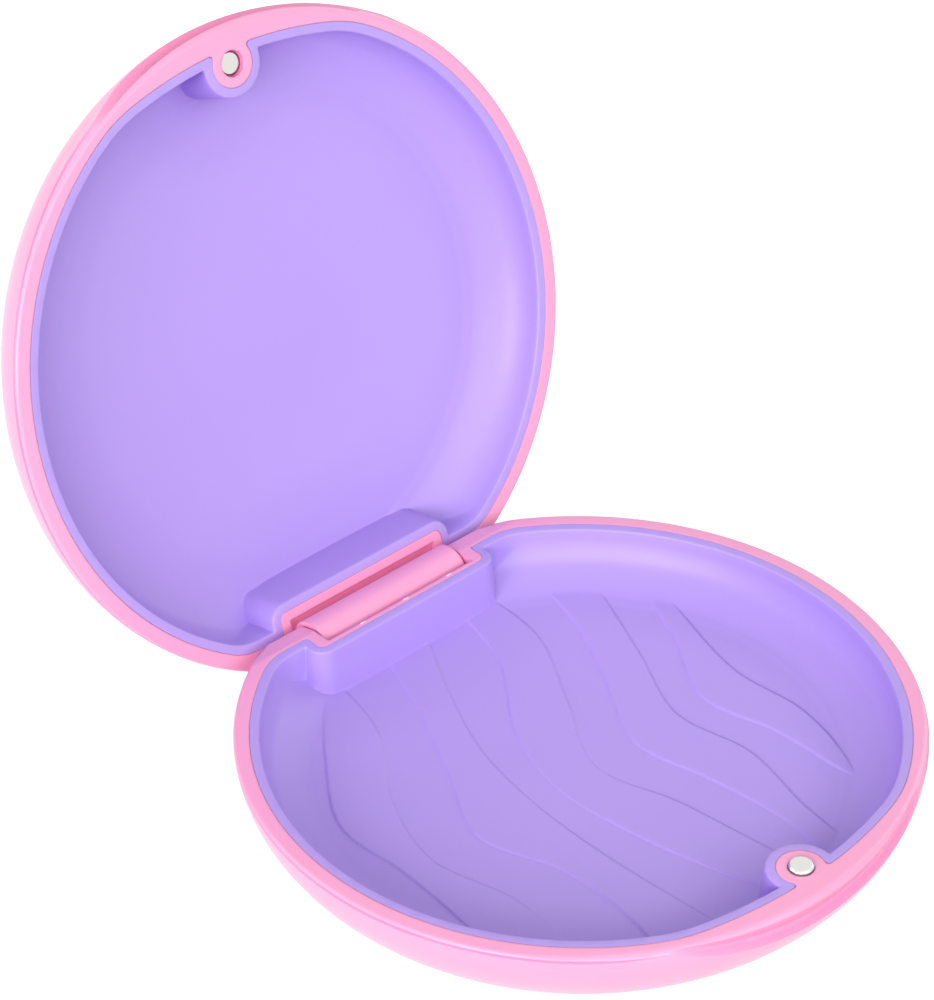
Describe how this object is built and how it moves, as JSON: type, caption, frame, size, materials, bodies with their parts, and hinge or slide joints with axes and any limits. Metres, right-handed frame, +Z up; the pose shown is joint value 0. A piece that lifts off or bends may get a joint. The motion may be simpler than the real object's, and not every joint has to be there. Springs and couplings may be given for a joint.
{
  "type": "retainer case",
  "caption": "Round hinged pocket case for a dental retainer, with a lined dished inside, magnetic closing and a finger scoop.",
  "frame": {"origin": "centre of the base's flat resting face", "axes": "+Z up out of the open base, -Y to the front with the magnets and the finger scoop, +Y to the back with the hinge, +X to the right seen from the front"},
  "size_m": [0.0838, 0.1135, 0.0839],
  "materials": {
    "pink_shell": "satin",
    "lavender_liner": "soft matt",
    "nickel_magnet": "bright plated",
    "steel_pin": "bright drawn"
  },
  "bodies": {
    "base": {"base_shell": "pink_shell", "base_liner": "lavender_liner", "base_magnet": "nickel_magnet", "hinge_pin": "steel_pin"},
    "lid": {"lid_shell": "pink_shell", "lid_liner": "lavender_liner", "lid_magnet": "nickel_magnet"}
  },
  "joints": [
    {"name": "lid_hinge", "type": "hinge", "parent": "base", "child": "lid", "pos_m": [0, 0.0363, 0.0108], "axis": [1, 0, 0], "range_deg": [0, 107.4]}
  ]
}
